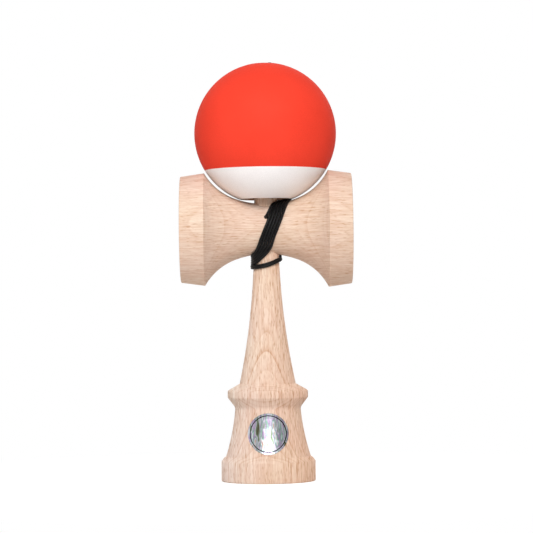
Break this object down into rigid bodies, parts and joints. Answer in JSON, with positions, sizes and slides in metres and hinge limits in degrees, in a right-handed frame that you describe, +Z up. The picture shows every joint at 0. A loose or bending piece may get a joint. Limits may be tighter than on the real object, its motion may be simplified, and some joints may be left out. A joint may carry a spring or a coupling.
{
  "type": "kendama",
  "caption": "Turned beech kendama: a handle with a base cup and a spike, a cross piece with a big and a small cup, and a painted ball tied on with a string wound round the crossing.",
  "frame": {"origin": "middle of the foot, on the surface that the ken stands on", "axes": "+Z up along the ken, +X along the cross piece towards the big cup, -Y towards the front, where the string leaves the cross piece"},
  "size_m": [0.0722, 0.06, 0.1778],
  "materials": {
    "beech": "sanded, unvarnished, pale with short brown flecks",
    "bare_beech": "drilled and left bare",
    "red_paint": "matt, slightly tacky rubber paint",
    "white_paint": "matt, slightly tacky rubber paint",
    "foil": "glossy metallised film with a diffraction shimmer",
    "string": "round braided polyester, dull black"
  },
  "bodies": {
    "ken": {"ken": "beech", "foil_sticker": "foil"},
    "sarado": {"sarado": "beech", "stopper_knot": "string", "string_winding": "string"},
    "bead": {"bead": "bare_beech", "bead_knot": "string", "string_run": "string"},
    "tama": {"tama": "bare_beech", "red_coat": "red_paint", "white_coat": "white_paint"}
  },
  "joints": [
    {"name": "sarado_slide", "type": "slide", "parent": "ken", "child": "sarado", "axis": [0, 0, 1], "range_m": [0, 0.07]},
    {"name": "tama_lift", "type": "slide", "parent": "sarado", "child": "bead", "axis": [0, 0, 1], "range_m": [0, 0.05], "deforming": ["string_run"]},
    {"name": "tama_spin", "type": "hinge", "parent": "bead", "child": "tama", "pos_m": [0, 0, 0.1467], "axis": [0, 0, 1], "continuous": true}
  ]
}
